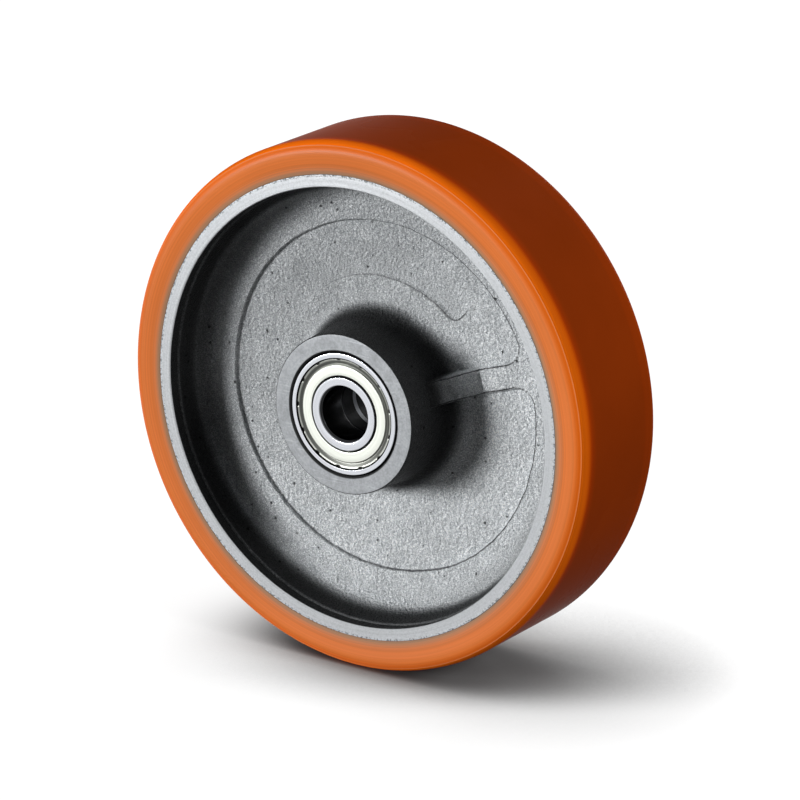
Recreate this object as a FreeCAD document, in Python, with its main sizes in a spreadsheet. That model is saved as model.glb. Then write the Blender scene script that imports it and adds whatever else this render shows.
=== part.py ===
import FreeCAD, Part
import math
import os
import re
import Sketcher

# A cast wheel with a bonded elastomer tyre, turning on two shielded ball bearings.
# Millimetres. The origin is the wheel's centre, the wheel spins about Y, and its front faces -Y.

# Driving dimensions: alias and value, in the order of the sheet's rows.
SIZES = {
    # tyre
    "tread_radius": 100.0,
    "tread_width": 50.0,
    "tyre_thickness": 12.2,
    "shoulder_round": 4.6,
    "flank_set": 0.6,
    # rim
    "rim_width": 48.5,
    "rim_land": 4.7,
    "rim_chamfer": 0.3,
    "rim_turned_depth": 4.5,
    "rim_shelf": 0.5,
    "rim_draft_set": 2.6,
    "dish_round": 11.0,
    # web
    "web_thickness": 7.6,
    "pocket_radius": 66.7,
    "pocket_depth": 1.5,
    "pocket_corner": 8.0,
    # rib
    "rib_angle": 18.0,
    "rib_width": 9.5,
    "rib_height": 18.0,
    "rib_toe_radius": 46.0,
    # hub
    "hub_radius": 30.2,
    "hub_width": 60.0,
    "hub_draft_set": 1.6,
    "hub_round": 9.0,
    "hub_bore_radius": 20.5,
    "seat_chamfer": 0.6,
    "seat_clearance": 0.02,
    "bearing_set": 0.2,
    # bearing
    "bearing_radius": 23.5,
    "bearing_bore_radius": 10.0,
    "bearing_width": 14.0,
    "race_chamfer": 0.75,
    "bore_chamfer": 1.0,
    "inner_land_radius": 14.0,
    "inner_land_chamfer": 0.4,
    "outer_land_radius": 19.6,
    "ball_radius": 3.969,
    "ball_pitch_radius": 16.75,
    "ball_clearance": 0.05,
    "ball_count": 8,
    "track_radius": 4.13,
    # shield
    "shield_lip_radius": 21.1,
    "shield_lip_depth": 0.35,
    "shield_seat_radius": 21.45,
    "shield_clearance": 0.05,
    "shield_gap": 0.5,
    "shield_set": 0.4,
    "shield_sheet": 0.35,
    "shield_flat_radius": 18.6,
    "shield_channel_radius": 20.1,
    "shield_channel_depth": 0.6,
    "shield_crest_radius": 20.6,
    "shield_crest_set": 0.05,
    "shield_edge_set": 0.3,
    "notch_count": 13,
    "notch_length": 1.5,
    "notch_width": 0.75,
    "notch_depth": 0.45,
    # cage
    "cage_inner_radius": 15.1,
    "cage_outer_radius": 18.4,
    "cage_sheet": 0.6,
    "cage_clearance": 0.1,
    "rivet_radius": 0.6,
    "rivet_clearance": 0.03,
    "rivet_head_radius": 1.0,
    "rivet_head_height": 0.45,
    # spacer
    "spacer_bore_radius": 10.2,
    "spacer_radius": 12.6,
    "spacer_chamfer": 0.4,
}

# Sizes that follow from the driving ones.
DERIVED = {
    "tread_half": "tread_width / 2",
    "rim_half": "rim_width / 2",
    "rim_radius": "tread_radius - tyre_thickness",
    "land_radius": "rim_radius - rim_land",
    "shelf_radius": "land_radius - rim_shelf",
    "shelf_half": "rim_half - rim_turned_depth",
    "dish_radius": "shelf_radius - rim_draft_set",
    "web_half": "web_thickness / 2",
    "bank_half": "web_half + pocket_depth",
    "flare_across": "rib_width / 2 + pocket_corner",
    "flare_reach": "pocket_radius - pocket_corner",
    "flare_along": "sqrt(flare_reach ^ 2 - flare_across ^ 2)",
    "flare_corner_along": "(pocket_radius * flare_reach - flare_across * rib_width / 2) / flare_along",
    "flare_end_across": "flare_across * pocket_radius / flare_reach + pocket_depth",
    "flare_end_along": "(pocket_radius * flare_reach - flare_across * flare_end_across) / flare_along",
    "hub_half": "hub_width / 2",
    "hub_root_radius": "hub_radius + hub_draft_set",
    "seat_radius": "bearing_radius + seat_clearance",
    "shoulder_half": "hub_half - bearing_set - bearing_width",
    "bearing_half": "bearing_width / 2",
    "bearing_offset": "shoulder_half + bearing_half",
    "outer_track_centre": "ball_pitch_radius + ball_radius + ball_clearance - track_radius",
    "inner_track_centre": "ball_pitch_radius - ball_radius - ball_clearance + track_radius",
    "shield_bore_radius": "inner_land_radius + shield_gap",
    "shield_face": "bearing_half - shield_set",
    "shield_rest": "shield_face - shield_channel_depth - shield_sheet",
    "shield_floor": "shield_rest - shield_clearance",
    "shield_edge_radius": "shield_seat_radius - shield_clearance",
    "cage_pocket_radius": "ball_radius + cage_clearance",
    "cage_cup_radius": "cage_pocket_radius + cage_sheet",
    "rivet_hole_radius": "rivet_radius + rivet_clearance",
    "half_ball_step": "180 / ball_count",
}

doc = FreeCAD.newDocument("CastorWheel")
sheet = doc.addObject("Spreadsheet::Sheet", "Sizes")
PARTS = []


def bound(words):
    """The words of a size with each alias read from the sheet."""
    return re.sub(r"[a-z]\w*(?!\()\b", lambda word: "Sizes." + word.group(), words)


def size(words):
    """The value of a size, or of a sum of sizes."""
    return float(sheet.evalExpression(bound(words)))


def fill_sheet():
    """One row for each size, a name beside its value; the derived ones are formulas."""
    for row, (alias, value) in enumerate({**SIZES, **DERIVED}.items(), start=1):
        sheet.set(f"A{row}", alias)
        sheet.set(f"B{row}", f"={value}" if alias in DERIVED else str(value))
        sheet.setAlias(f"B{row}", alias)
    doc.recompute()


def body(label):
    """A new body, listed among the parts under its label."""
    made = doc.addObject("PartDesign::Body", label)
    made.Label = label
    PARTS.append(made)
    return made


def datum(owner, role):
    """The body's own origin plane or axis of that role."""
    return next(item for item in owner.Origin.OriginFeatures if item.Role == role)


def sketch_on(owner, name, plane, turn=None, lift=None):
    """A sketch on an origin plane, turned in it or about its upright axis, or lifted off it."""
    sketch = owner.newObject("Sketcher::SketchObject", name)
    sketch.AttachmentSupport = (datum(owner, plane), "")
    sketch.MapMode = "FlatFace"
    if turn:
        axis, angle = turn
        sketch.AttachmentOffset = FreeCAD.Placement(FreeCAD.Vector(), FreeCAD.Rotation(axis, 1.0))
        sketch.setExpression(".AttachmentOffset.Rotation.Angle", bound(angle))
    if lift:
        sketch.setExpression(".AttachmentOffset.Base.z", bound(lift))
    return sketch


def pin_point(rules, links, place, words, geometry, point):
    """Constraints that hold a sketch point at its two sizes from the sketch's origin."""
    for kind, axis, value, text in zip(("DistanceX", "DistanceY"), (-2, -1), place, words):
        if text == "0":
            rules.append(Sketcher.Constraint("PointOnObject", geometry, point, axis))
        else:
            links.append((len(rules), text))
            rules.append(Sketcher.Constraint(kind, -1, 1, geometry, point, value))


def bind(sketch, rules, links):
    """Adds the constraints and ties the dimensions among them to the sheet."""
    sketch.addConstraint(rules)
    for index, text in links:
        sketch.setExpression(f"Constraints[{index}]", bound(text))


def outline(sketch, corners):
    """A closed outline; each corner is two sizes, and a third where the corner is rounded."""
    count = len(corners)
    places = [FreeCAD.Vector(size(corner[0]), size(corner[1]), 0) for corner in corners]
    starts, ends, rounds = list(places), list(places), {}
    for index, corner in enumerate(corners):
        if len(corner) == 2:
            continue
        here = places[index]
        back = (places[index - 1] - here).normalize()
        ahead = (places[(index + 1) % count] - here).normalize()
        half = back.getAngle(ahead) / 2
        radius = size(corner[2])
        ends[index] = here + back * (radius / math.tan(half))
        starts[index] = here + ahead * (radius / math.tan(half))
        centre = here + (back + ahead).normalize() * (radius / math.sin(half))
        rounds[index] = (centre, radius, back.cross(ahead).z < 0)
    lines = [
        sketch.addGeometry(Part.LineSegment(starts[index], ends[(index + 1) % count]))
        for index in range(count)
    ]
    rules, links = [], []
    for index, corner in enumerate(corners):
        before, after = lines[index - 1], lines[index]
        if index not in rounds:
            rules.append(Sketcher.Constraint("Coincident", before, 2, after, 1))
            pin_point(rules, links, places[index], corner[:2], after, 1)
            continue
        centre, radius, forward = rounds[index]
        first, last = (ends[index], starts[index]) if forward else (starts[index], ends[index])
        angles = [math.atan2(spot.y - centre.y, spot.x - centre.x) for spot in (first, last)]
        circle = Part.Circle(centre, FreeCAD.Vector(0, 0, 1), radius)
        arc = sketch.addGeometry(Part.ArcOfCircle(circle, *angles))
        mark = sketch.addGeometry(Part.Point(places[index]), True)
        near, far = (1, 2) if forward else (2, 1)
        pin_point(rules, links, places[index], corner[:2], mark, 1)
        rules.append(Sketcher.Constraint("PointOnObject", mark, 1, before))
        rules.append(Sketcher.Constraint("PointOnObject", mark, 1, after))
        rules.append(Sketcher.Constraint("Tangent", before, 2, arc, near))
        rules.append(Sketcher.Constraint("Tangent", after, 1, arc, far))
        links.append((len(rules), corner[2]))
        rules.append(Sketcher.Constraint("Radius", arc, radius))
    bind(sketch, rules, links)
    return sketch


def circle(sketch, radius, centre=("0", "0")):
    """A circle of that radius about that centre."""
    place = FreeCAD.Vector(size(centre[0]), size(centre[1]), 0)
    ring = sketch.addGeometry(Part.Circle(place, FreeCAD.Vector(0, 0, 1), size(radius)))
    rules, links = [], []
    pin_point(rules, links, place, centre, ring, 3)
    links.append((len(rules), radius))
    rules.append(Sketcher.Constraint("Radius", ring, size(radius)))
    bind(sketch, rules, links)
    return sketch


def turned(owner, kind, name, sketch):
    """A full turn of the sketch about the wheel's axis, added or cut away by its kind."""
    feature = owner.newObject(f"PartDesign::{kind}", name)
    feature.Profile = sketch
    feature.ReferenceAxis = (datum(owner, "Y_Axis"), [""])
    feature.Angle = 360
    return feature


def lathed(owner, name, corners):
    """The body's blank: a closed outline in the plane of the axis, turned about it."""
    section = outline(sketch_on(owner, f"{name}_section", "XY_Plane"), corners)
    return turned(owner, "Revolution", name, section)


def drawn(owner, kind, name, sketch, length, symmetric=False):
    """A straight pad or pocket of the sketch."""
    feature = owner.newObject(f"PartDesign::{kind}", name)
    feature.Profile = sketch
    feature.setExpression("Length", bound(length))
    if symmetric:
        feature.SideType = "Symmetric"
    return feature


def repeated(owner, name, feature, count):
    """Copies of the feature, evenly round the wheel's axis."""
    pattern = owner.newObject("PartDesign::PolarPattern", name)
    pattern.Originals = [feature]
    pattern.Axis = (datum(owner, "Y_Axis"), [""])
    pattern.Angle = 360
    pattern.setExpression("Occurrences", bound(count))
    owner.Tip = pattern
    return pattern


def mirrored(half):
    """The corners of half an outline and their mirror image across the sketch's first axis."""
    return half + [(corner[0], corner[1].lstrip("-")) + corner[2:] for corner in reversed(half)]


def make_tyre():
    """The tyre is bonded to the rim, flush with the rim's faces and full at its shoulders."""
    tyre = body("tyre")
    section = mirrored(
        [
            ("rim_radius", "-rim_half"),
            ("tread_radius - flank_set - shoulder_round", "-tread_half"),
            ("tread_radius", "-tread_half", "shoulder_round"),
        ]
    )
    lathed(tyre, "tread", section)


def make_core():
    """One casting: rim, web, hub and rib, with the hub bored through and seated for bearings."""
    core = body("wheel_core")
    section = mirrored(
        [
            ("hub_bore_radius", "-shoulder_half"),
            ("seat_radius", "-shoulder_half"),
            ("seat_radius", "-(hub_half - seat_chamfer)"),
            ("seat_radius + seat_chamfer", "-hub_half"),
            ("hub_radius", "-hub_half"),
            ("hub_root_radius", "-web_half", "hub_round"),
            ("pocket_radius", "-web_half"),
            ("pocket_radius", "-bank_half"),
            ("dish_radius", "-bank_half", "dish_round"),
            ("shelf_radius", "-shelf_half"),
            ("land_radius", "-shelf_half"),
            ("land_radius", "-(rim_half - rim_chamfer)"),
            ("land_radius + rim_chamfer", "-rim_half"),
            ("rim_radius", "-rim_half"),
        ]
    )
    lathed(core, "casting", section)

    outward = FreeCAD.Vector(0, 0, 1)
    plan = sketch_on(core, "bar_plan", "XZ_Plane", turn=(outward, "rib_angle"))
    near_side = [
        ("hub_radius", "-rib_width / 2"),
        ("flare_corner_along", "-rib_width / 2", "pocket_corner"),
        ("flare_end_along", "-flare_end_across"),
        ("pocket_radius + pocket_depth", "-flare_end_across"),
    ]
    drawn(core, "Pad", "bar", outline(plan, mirrored(near_side)), "bank_half")

    upright = FreeCAD.Vector(0, 1, 0)
    flank = sketch_on(core, "rib_flank", "XY_Plane", turn=(upright, "-rib_angle"))
    outline(
        flank,
        [
            ("(seat_radius + hub_radius) / 2", "0"),
            ("(seat_radius + hub_radius) / 2", "-rib_height"),
            ("hub_radius", "-rib_height"),
            ("rib_toe_radius", "-bank_half"),
            ("rib_toe_radius", "0"),
        ],
    )
    drawn(core, "Pad", "rib", flank, "rib_width", symmetric=True)


def place_in_hub(part, side, face="outboard"):
    """Sets a bearing piece, modelled about its own centre and facing the front, into its seat."""
    if (side == "back") == (face == "outboard"):
        part.Placement = FreeCAD.Placement(FreeCAD.Vector(), FreeCAD.Vector(1, 0, 0), 180)
    offset = "-bearing_offset" if side == "front" else "bearing_offset"
    part.setExpression(".Placement.Base.y", bound(offset))


def cut_track(race, centre):
    """The ball track, a round groove whose section has its centre at that radius."""
    section = sketch_on(race, "track_section", "XY_Plane")
    turned(race, "Groove", "track", circle(section, "track_radius", (centre, "0")))


def make_outer_race(side):
    """The outer race: a ball track between two lands, and a rebate for each shield."""
    race = body(f"{side}_outer_race")
    section = mirrored(
        [
            ("outer_land_radius", "-shield_floor"),
            ("shield_seat_radius", "-shield_floor"),
            ("shield_seat_radius", "-(bearing_half - shield_lip_depth * 2)"),
            ("shield_lip_radius", "-(bearing_half - shield_lip_depth)"),
            ("shield_lip_radius", "-bearing_half"),
            ("bearing_radius - race_chamfer", "-bearing_half"),
            ("bearing_radius", "-(bearing_half - race_chamfer)"),
        ]
    )
    lathed(race, "ring", section)
    cut_track(race, "outer_track_centre")
    place_in_hub(race, side)


def make_inner_race(side):
    """The inner race: the axle's bore inside and a ball track outside."""
    race = body(f"{side}_inner_race")
    section = mirrored(
        [
            ("bearing_bore_radius", "-(bearing_half - bore_chamfer)"),
            ("bearing_bore_radius + bore_chamfer", "-bearing_half"),
            ("inner_land_radius - inner_land_chamfer", "-bearing_half"),
            ("inner_land_radius", "-(bearing_half - inner_land_chamfer)"),
        ]
    )
    lathed(race, "ring", section)
    cut_track(race, "inner_track_centre")
    place_in_hub(race, side)


def make_shield(side, face):
    """A pressed shield: flat, a channel, and a rolled edge notched where it was staked in."""
    shield = body(f"{side}_{face}_shield")
    section = [
        ("shield_bore_radius", "-shield_face"),
        ("shield_flat_radius", "-shield_face"),
        ("shield_channel_radius", "-(shield_face - shield_channel_depth)"),
        ("shield_crest_radius", "-(shield_face - shield_crest_set)"),
        ("shield_edge_radius", "-(shield_face - shield_edge_set)"),
        ("shield_edge_radius", "-shield_rest"),
        ("shield_channel_radius", "-shield_rest"),
        ("shield_flat_radius", "-(shield_face - shield_sheet)"),
        ("shield_bore_radius", "-(shield_face - shield_sheet)"),
    ]
    lathed(shield, "sheet", section)
    plan = sketch_on(shield, "notch_plan", "XZ_Plane", lift="shield_face")
    outline(
        plan,
        [
            ("shield_crest_radius - notch_width / 2", "-notch_length / 2"),
            ("shield_crest_radius + notch_width / 2", "-notch_length / 2"),
            ("shield_crest_radius + notch_width / 2", "notch_length / 2"),
            ("shield_crest_radius - notch_width / 2", "notch_length / 2"),
        ],
    )
    notch = drawn(shield, "Pocket", "notch", plan, "notch_depth")
    repeated(shield, "notches", notch, "notch_count")
    place_in_hub(shield, side, face)


def make_cage_half(side, face):
    """Half of the pressed cage: a flat ring with a cup over each ball and rivet holes between."""
    half = body(f"{side}_{face}_cage")
    ring = circle(sketch_on(half, "ring_plan", "XZ_Plane"), "cage_outer_radius")
    drawn(half, "Pad", "ring", ring, "cage_sheet")

    cup_plan = sketch_on(half, "cup_plan", "YZ_Plane", lift="cage_inner_radius / 2")
    cup = drawn(half, "Pad", "cup", circle(cup_plan, "cage_cup_radius"), "cage_outer_radius")
    repeated(half, "cups", cup, "ball_count")

    pocket_plan = sketch_on(half, "pocket_plan", "YZ_Plane", lift="cage_outer_radius * 2")
    pocket_circle = circle(pocket_plan, "cage_pocket_radius")
    pocket = drawn(half, "Pocket", "pocket", pocket_circle, "cage_outer_radius * 2")
    repeated(half, "pockets", pocket, "ball_count")

    between_balls = (FreeCAD.Vector(0, 0, 1), "half_ball_step")
    hole_plan = sketch_on(half, "hole_plan", "XZ_Plane", turn=between_balls, lift="cage_cup_radius")
    hole_circle = circle(hole_plan, "rivet_hole_radius", ("ball_pitch_radius", "0"))
    hole = drawn(half, "Pocket", "hole", hole_circle, "cage_cup_radius * 2")
    repeated(half, "holes", hole, "ball_count")

    around = [
        ("0", "-cage_outer_radius"),
        ("cage_inner_radius", "-cage_outer_radius"),
        ("cage_inner_radius", "0"),
        ("cage_outer_radius", "0"),
        ("cage_outer_radius", "-cage_outer_radius"),
        ("cage_outer_radius * 3", "-cage_outer_radius"),
        ("cage_outer_radius * 3", "cage_outer_radius"),
        ("0", "cage_outer_radius"),
    ]
    turned(half, "Groove", "trim", outline(sketch_on(half, "trim_section", "XY_Plane"), around))
    place_in_hub(half, side, face)


def make_group(label, side, piece, first_angle):
    """One solid repeated for each ball round the bearing's axis, kept as separate solids."""
    step = 360 / size("ball_count")
    copies = []
    for number in range(int(size("ball_count"))):
        copy = piece.copy()
        copy.rotate(FreeCAD.Vector(), FreeCAD.Vector(0, 1, 0), first_angle + number * step)
        copies.append(copy)
    group = doc.addObject("Part::Feature", label)
    group.Label = label
    group.Shape = Part.makeCompound(copies)
    group.Placement.Base.y = size("bearing_offset") * (-1 if side == "front" else 1)
    PARTS.append(group)


def make_balls(side):
    """The balls stand in line with the cage's cups."""
    ball = Part.makeSphere(size("ball_radius"), FreeCAD.Vector(size("ball_pitch_radius"), 0, 0))
    make_group(f"{side}_balls", side, ball, 0)


def make_rivets(side):
    """Each rivet clamps the cage's two halves between its heads."""
    axis = FreeCAD.Vector(0, 1, 0)
    sheet_stack = size("cage_sheet") * 2
    head = size("rivet_head_height")
    foot = FreeCAD.Vector(size("ball_pitch_radius"), -sheet_stack / 2, 0)
    rivet = Part.makeCylinder(size("rivet_radius"), sheet_stack, foot, axis)
    for level in (-sheet_stack / 2 - head, sheet_stack / 2):
        place = FreeCAD.Vector(size("ball_pitch_radius"), level, 0)
        rivet = rivet.fuse(Part.makeCylinder(size("rivet_head_radius"), head, place, axis))
    make_group(f"{side}_cage_rivets", side, rivet.removeSplitter(), size("half_ball_step"))


def make_spacer():
    """The spacer tube keeps the two inner races apart on the axle."""
    tube = body("spacer_tube")
    section = mirrored(
        [
            ("spacer_bore_radius", "-(shoulder_half - spacer_chamfer)"),
            ("spacer_bore_radius + spacer_chamfer", "-shoulder_half"),
            ("spacer_radius - spacer_chamfer", "-shoulder_half"),
            ("spacer_radius", "-(shoulder_half - spacer_chamfer)"),
        ]
    )
    lathed(tube, "tube", section)


def check_and_export():
    """Stops on any failed object or empty part, then writes one file for each part."""
    doc.recompute()
    failed = [item.Name for item in doc.Objects if {"Invalid", "Error"} & set(item.State)]
    if failed:
        raise RuntimeError(f"failed objects: {failed}")
    for part in PARTS:
        if part.Shape.isNull() or not part.Shape.isValid() or not part.Shape.Solids:
            raise RuntimeError(f"{part.Label} has no valid solid")
    os.makedirs("parts", exist_ok=True)
    for part in PARTS:
        part.Shape.exportStep(f"parts/{part.Label}.step")


fill_sheet()
make_tyre()
make_core()
make_spacer()
for side in ("front", "back"):
    make_outer_race(side)
    make_inner_race(side)
    make_balls(side)
    make_rivets(side)
    for face in ("outboard", "inboard"):
        make_shield(side, face)
        make_cage_half(side, face)
check_and_export()
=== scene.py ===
import math
from functools import reduce
from types import SimpleNamespace

import bmesh
import bpy
import numpy as np
from bpy.props import FloatProperty, FloatVectorProperty, IntProperty, PointerProperty
from mathutils import Matrix, Vector, noise


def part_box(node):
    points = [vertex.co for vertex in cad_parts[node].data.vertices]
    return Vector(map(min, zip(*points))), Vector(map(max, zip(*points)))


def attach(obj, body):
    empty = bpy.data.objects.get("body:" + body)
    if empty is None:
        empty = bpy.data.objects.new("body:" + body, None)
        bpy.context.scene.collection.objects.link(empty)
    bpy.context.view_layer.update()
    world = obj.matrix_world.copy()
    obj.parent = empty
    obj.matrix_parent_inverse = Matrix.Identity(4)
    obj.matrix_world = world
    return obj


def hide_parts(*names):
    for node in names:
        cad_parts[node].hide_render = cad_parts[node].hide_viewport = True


bl_info = {
    "name": "Polyurethane Wheel",
    "version": (1, 0, 0),
    "blender": (4, 5, 0),
    "location": "3D View > Sidebar > Wheel",
    "description": "Dresses the packed castor wheel: tyre, casting, bearings and studio",
    "category": "Object",
}

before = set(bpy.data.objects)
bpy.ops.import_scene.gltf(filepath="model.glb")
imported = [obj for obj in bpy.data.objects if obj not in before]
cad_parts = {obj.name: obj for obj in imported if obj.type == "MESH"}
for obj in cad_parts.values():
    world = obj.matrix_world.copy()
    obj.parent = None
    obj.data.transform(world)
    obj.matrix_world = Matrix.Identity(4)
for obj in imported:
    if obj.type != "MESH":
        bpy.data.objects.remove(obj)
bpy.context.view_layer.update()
TYRE_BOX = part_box("tyre")
SIDES = {"front": -1, "back": 1}
MM = 0.001

# Fixed sizes of the casting and the rings, in millimetres.
RIM_RADIUS, RIM_HALF, SHELF_DEPTH = 87.8, 24.25, 19.75
HUB_HALF, HUB_BORE, SEAT_RADIUS, SEAT_DEPTH, SEAT_MOUTH = 30.0, 20.5, 23.52, 15.8, 24.12
INNER_CORNER, TRACK_RADIUS = 13.6, 4.13


# ---------------------------------------------------------------- settings


def length(name, description, default):
    """A size in metres that the panel shows."""
    kind = {"min": 0, "unit": "LENGTH", "precision": 5}
    return FloatProperty(name=name, description=description, default=default, **kind)


def angle(name, description, degrees):
    """A direction or a turn, its default given in degrees."""
    return FloatProperty(name=name, description=description, default=math.radians(degrees), subtype="ANGLE")


def level(name, description, default):
    """A strength from 0 up."""
    return FloatProperty(name=name, description=description, default=default, min=0.0)


def share(name, description, default):
    """A factor from 0 to 1."""
    return FloatProperty(name=name, description=description, default=default, min=0, max=1, subtype="FACTOR")


def colour(name, description, written):
    """A colour, its default given as the six hex digits of its screen value."""
    parts = [int(written[start:start + 2], 16) / 255 for start in (0, 2, 4)]
    linear = [part / 12.92 if part <= 0.04045 else ((part + 0.055) / 1.055) ** 2.4 for part in parts]
    span = {"min": 0, "max": 1, "subtype": "COLOR"}
    return FloatVectorProperty(name=name, description=description, default=linear, **span)


class TyreSettings(bpy.types.PropertyGroup):
    tread_radius: length("Tread radius", "Radius of the rolling surface", TYRE_BOX[1].x)
    half_width: length("Half width", "From the mid plane to the tyre's flank", TYRE_BOX[1].y)
    rim_radius: length("Bond radius", "Where the tyre is bonded to the rim", 0.0878)
    rim_half: length("Bond half width", "From the mid plane to the rim's face", 0.02425)
    shoulder: length("Shoulder round", "Radius between flank and tread", 0.0046)
    bead: length("Trimming ridge", "Height of the ridge where the grinding stopped", 0.00013)
    bead_angle: angle("Ridge angle", "Place of the ridge on the shoulder round", 42)
    flank_colour: colour("Flank", "Matt trimmed face beside the shoulder", "DA7536")
    edge_colour: colour("Bond edge", "Face beside the metal, where the cutter ran", "A07C60")
    shoulder_colour: colour("Shoulder", "Rounded edge, the brightest orange", "DE640E")
    # Painted highlight: this colour stands in for light caught on the trimming ridge.
    ridge_highlight_colour: colour("Ridge", "Ridge left where the grinding stopped", "F0AA78")
    # Painted glow: the next two colours brighten the ground shoulder and the tread's edge as if lit from
    # within.
    painted_glow_colour: colour("Ground shoulder", "Ground part of the shoulder, lit from within", "FF7410")
    painted_edge_glow_colour: colour("Tread edge", "Tread beside the shoulder, where light comes through", "B43C04")
    tread_colour: colour("Tread", "Ground and polished rolling surface", "8C3409")
    roughness: share("Roughness", "Gloss of the flank", 0.36)


class CastingSettings(bpy.types.PropertyGroup):
    land_radius: length("Land radius", "Inner edge of the machined rim face", 0.0831)
    pocket_radius: length("Pocket radius", "Outer edge of the recess in the web", 0.0667)
    pocket_depth: length("Pocket depth", "Sink of the recess below the bank round it", 0.0015)
    pocket_corner: length("Pocket corner", "Round of the recess where it meets the rib", 0.008)
    web_half: length("Web half thickness", "From the mid plane to the recessed web", 0.0038)
    hub_radius: length("Hub radius", "Radius of the hub at its face", 0.0302)
    panel_radius: length("Panel radius", "Inner arc of the bare panel above the hub", 0.046)
    panel_angle: angle("Panel end", "Direction of the panel's right end", 47.5)
    panel_depth: length("Panel depth", "Sink of the bare panel", 0.0006)
    rib_angle: angle("Rib angle", "Direction of the rib on the front", 18)
    rib_half: length("Rib half width", "Half the thickness of the rib", 0.00475)
    rib_height: length("Rib height", "Height of the rib at the hub, above the mid plane", 0.018)
    rib_toe: length("Rib toe", "Radius where the rib runs out", 0.046)
    ripple: length("Skin ripple", "Unevenness of the cast skin", 0.00009)
    skin_colour: colour("Cast skin", "Blasted skin of the casting", "FAFDFF")
    shade_colour: colour("Cast shade", "Darker grains of the skin", "BEC3C7")
    turned_colour: colour("Rim face", "Machined land beside the tyre", "B2B5B8")
    hub_colour: colour("Hub face", "Machined hub, duller than the rim", "929598")


class BearingSettings(bpy.types.PropertyGroup):
    offset: length("Bearing offset", "From the mid plane to a bearing's middle", 0.0228)
    half_width: length("Bearing half width", "Half the width of the rings", 0.007)
    outer_radius: length("Outer radius", "Outside of the outer ring", 0.0235)
    bore_radius: length("Bore radius", "Axle's bore", 0.010)
    pitch_radius: length("Ball circle", "Radius on which the balls stand", 0.01675)
    ball_radius: length("Ball radius", "Radius of one ball", 0.003969)
    ball_count: IntProperty(name="Balls", description="Balls in one bearing", default=8, min=3, max=20)
    notch_count: IntProperty(name="Notches", description="Staking notches in a shield", default=13, min=3)
    notch_turn: angle("Notch turn", "Angle of the first staking notch", 13.43)
    ring_colour: colour("Rings", "Ground bearing steel", "DFE2E8")
    shield_colour: colour("Shields", "Pressed bright sheet", "CED1C9")
    ball_colour: colour("Balls", "Polished steel", "DCDCDA")
    cage_colour: colour("Cages", "Pressed sheet, lightly oiled", "B0AAA0")
    tube_colour: colour("Spacer", "Plain turned tube", "B4B8BE")


class StudioSettings(bpy.types.PropertyGroup):
    azimuth: angle("Azimuth", "Camera's turn to the right", 34.745)
    elevation: angle("Elevation", "Camera's height as an angle", 18.157)
    distance: length("Distance", "From the wheel's centre to the camera", 1.6761)
    yaw: angle("Yaw", "Aim to the side of the centre", -0.124)
    pitch: angle("Pitch", "Aim above the centre", -0.083)
    lens: FloatProperty(name="Lens", description="Focal length, in millimetres", default=205.3)
    key: level("Key light", "Strength of the soft light at the left", 3.7)
    side: level("Side light", "Strength of the soft light along the tread", 1.85)
    back: level("Back light", "Strength of the soft light behind", 1.7)
    fill: level("Fill", "Level of the room's light", 0.04)
    glow: level("Floor glow", "Light that the white floor throws up", 0.04)


# ---------------------------------------------------------------- shapes


def smooth(low, high, value):
    """0 below low, 1 above high, and an even S between them."""
    share_of_way = np.clip((value - low) / (high - low), 0, 1)
    return share_of_way * share_of_way * (3 - 2 * share_of_way)


def bell(offset, width, power=2):
    """1 where the offset is 0, and nearly 0 beyond the width on either side."""
    return np.exp(-((offset / width) ** power))


def section(corners, arc_step=9.0):
    """Points round a closed section and the finish of the stretch after each point.

    A corner is (radius, depth, round, steps to the next corner, finish).
    """
    places = np.array([corner[:2] for corner in corners], float)
    arcs = []
    for index, corner in enumerate(corners):
        here = places[index]
        if corner[2] == 0:
            arcs.append([here])
            continue
        back = places[index - 1] - here
        ahead = places[(index + 1) % len(corners)] - here
        back, ahead = back / np.linalg.norm(back), ahead / np.linalg.norm(ahead)
        half = math.acos(float(np.clip(back @ ahead, -1, 1))) / 2
        middle = here + (back + ahead) / np.linalg.norm(back + ahead) * corner[2] / math.sin(half)
        first = here + back * corner[2] / math.tan(half) - middle
        last = here + ahead * corner[2] / math.tan(half) - middle
        swing = math.pi - 2 * half
        count = max(2, math.ceil(math.degrees(swing) / arc_step))
        turn = swing if first[0] * last[1] - first[1] * last[0] > 0 else -swing
        angles = np.linspace(0, turn, count + 1)
        arcs.append([middle + (first[0] * math.cos(a) - first[1] * math.sin(a),
                               first[0] * math.sin(a) + first[1] * math.cos(a)) for a in angles])
    points, finishes = [], []
    for index, corner in enumerate(corners):
        run = list(arcs[index])
        end = arcs[(index + 1) % len(corners)][0]
        run += [run[-1] + (end - run[-1]) * step / corner[3] for step in range(1, corner[3])]
        points += run
        finishes += [corner[4]] * len(run)
    return np.array(points), np.array(finishes)


def mirrored(half, plainer=1):
    """The corners of a front half and of its mirror image, which may be stepped more coarsely."""
    back = []
    for index in range(len(half) - 1, -1, -1):
        radius, depth, fillet = half[index][:3]
        steps, finish = half[index - 1][3:] if index else (half[-1][3], half[-1][4])
        back.append((radius, -depth, fillet, max(1, steps // plainer), finish))
    return half + back


def swept(points, angles):
    """A grid of places: each point of the section taken round the axle through the angles."""
    angles = np.broadcast_to(angles, (len(points), np.shape(angles)[-1]))
    radius, depth = points[:, 0, None], points[:, 1, None]
    return np.stack([radius * np.cos(angles), depth + 0 * angles, radius * np.sin(angles)], axis=2)


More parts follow.
